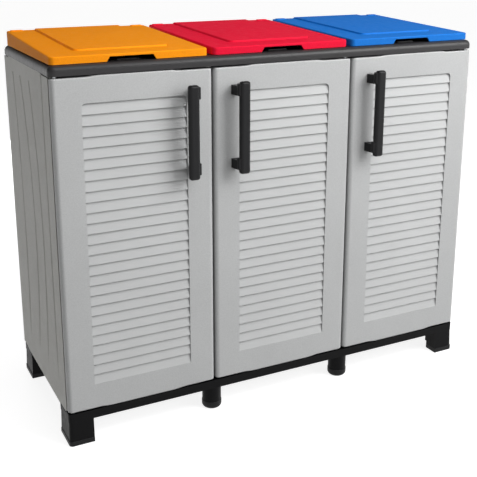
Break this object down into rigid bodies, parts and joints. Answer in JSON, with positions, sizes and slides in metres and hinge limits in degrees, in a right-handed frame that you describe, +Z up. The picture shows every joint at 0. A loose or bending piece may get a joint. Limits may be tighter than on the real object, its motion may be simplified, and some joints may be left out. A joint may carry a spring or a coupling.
{
  "type": "recycling bin station",
  "caption": "Free-standing recycling cabinet with louvred doors on bar handles and sloping coloured lids over bag rings.",
  "frame": {"origin": "on the floor, below the middle of the bounding box", "axes": "+X to the cabinet's right as seen from the front, +Y to its back (the doors face -Y), +Z up"},
  "size_m": [1.02, 0.4365, 0.8398],
  "materials": {
    "light_grey_plastic": "fine grained moulded polypropylene",
    "dark_grey_plastic": "satin moulded polypropylene",
    "black_plastic": "fine grained moulded polypropylene",
    "ring_plastic": "satin moulded polypropylene",
    "foot_plastic": "soft moulded cap",
    "orange_plastic": "satin moulded polypropylene",
    "red_plastic": "satin moulded polypropylene",
    "blue_plastic": "satin moulded polypropylene",
    "steel": "zinc plated"
  },
  "bodies": {
    "cabinet": {"back_panel_centre": "light_grey_plastic", "back_panel_left": "light_grey_plastic", "back_panel_right": "light_grey_plastic", "bag_ring_centre": "ring_plastic", "bag_ring_left": "ring_plastic", "bag_ring_right": "ring_plastic", "base_screws": "steel", "base_tray": "black_plastic", "door_catch_centre": "black_plastic", "door_catch_left": "black_plastic", "door_catch_right": "black_plastic", "door_pins_centre": "steel", "door_pins_left": "steel", "door_pins_right": "steel", "foot_front_left": "foot_plastic", "foot_front_right": "foot_plastic", "foot_rear_left": "foot_plastic", "foot_rear_right": "foot_plastic", "frame_screws": "steel", "leg_front_left": "black_plastic", "leg_front_right": "black_plastic", "leg_rear_left": "black_plastic", "leg_rear_right": "black_plastic", "lid_pins_centre": "steel", "lid_pins_left": "steel", "lid_pins_right": "steel", "partition_left": "light_grey_plastic", "partition_right": "light_grey_plastic", "post_foot_front_left": "foot_plastic", "post_foot_front_right": "foot_plastic", "post_foot_rear_left": "foot_plastic", "post_foot_rear_right": "foot_plastic", "post_front_left": "black_plastic", "post_front_right": "black_plastic", "post_rear_left": "black_plastic", "post_rear_right": "black_plastic", "side_panel_left": "light_grey_plastic", "side_panel_right": "light_grey_plastic", "top_frame": "dark_grey_plastic"},
    "left_door": {"door_left": "light_grey_plastic", "handle_left": "black_plastic", "handle_screws_left": "steel", "door_strike_left": "steel"},
    "left_lid": {"lid_orange": "orange_plastic"},
    "centre_door": {"door_centre": "light_grey_plastic", "handle_centre": "black_plastic", "handle_screws_centre": "steel", "door_strike_centre": "steel"},
    "centre_lid": {"lid_red": "red_plastic"},
    "right_door": {"door_right": "light_grey_plastic", "handle_right": "black_plastic", "handle_screws_right": "steel", "door_strike_right": "steel"},
    "right_lid": {"lid_blue": "blue_plastic"}
  },
  "joints": [
    {"name": "left_door_hinge", "type": "hinge", "parent": "cabinet", "child": "left_door", "pos_m": [-0.497, -0.171, 0.43], "axis": [0, 0, -1], "range_deg": [0, 100]},
    {"name": "left_lid_hinge", "type": "hinge", "parent": "cabinet", "child": "left_lid", "pos_m": [-0.34, 0.194, 0.82], "axis": [-1, 0, 0], "range_deg": [0, 95]},
    {"name": "centre_door_hinge", "type": "hinge", "parent": "cabinet", "child": "centre_door", "pos_m": [0.157, -0.171, 0.43], "axis": [0, 0, 1], "range_deg": [0, 100]},
    {"name": "centre_lid_hinge", "type": "hinge", "parent": "cabinet", "child": "centre_lid", "pos_m": [0, 0.194, 0.82], "axis": [-1, 0, 0], "range_deg": [0, 95]},
    {"name": "right_door_hinge", "type": "hinge", "parent": "cabinet", "child": "right_door", "pos_m": [0.497, -0.171, 0.43], "axis": [0, 0, 1], "range_deg": [0, 100]},
    {"name": "right_lid_hinge", "type": "hinge", "parent": "cabinet", "child": "right_lid", "pos_m": [0.34, 0.194, 0.82], "axis": [-1, 0, 0], "range_deg": [0, 95]}
  ]
}
